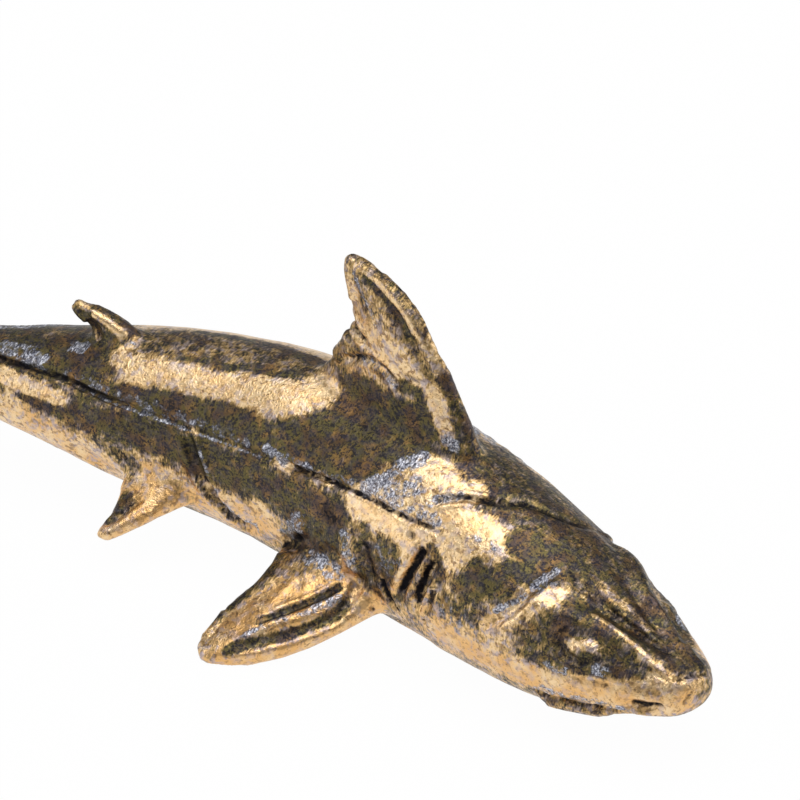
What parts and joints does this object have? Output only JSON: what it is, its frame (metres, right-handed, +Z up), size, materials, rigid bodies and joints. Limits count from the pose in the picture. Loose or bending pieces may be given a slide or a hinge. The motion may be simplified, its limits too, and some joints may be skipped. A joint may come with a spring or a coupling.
{
  "type": "shark figurine",
  "caption": "Solid cast brass shark figurine with a curved body, fins, gill slits and a flat under the belly to rest on.",
  "frame": {"origin": "on the flat that the belly rests on, under the spine 24 mm behind the snout", "axes": "+X the way the middle of the body swims, +Y the shark's left side, +Z up from the table"},
  "size_m": [0.0731, 0.0279, 0.0222],
  "materials": {
    "aged_brass": "cast, dark oxide in the recesses and rubbed bright on the high places"
  },
  "bodies": {
    "root": {"shark": "aged_brass"}
  },
  "joints": []
}
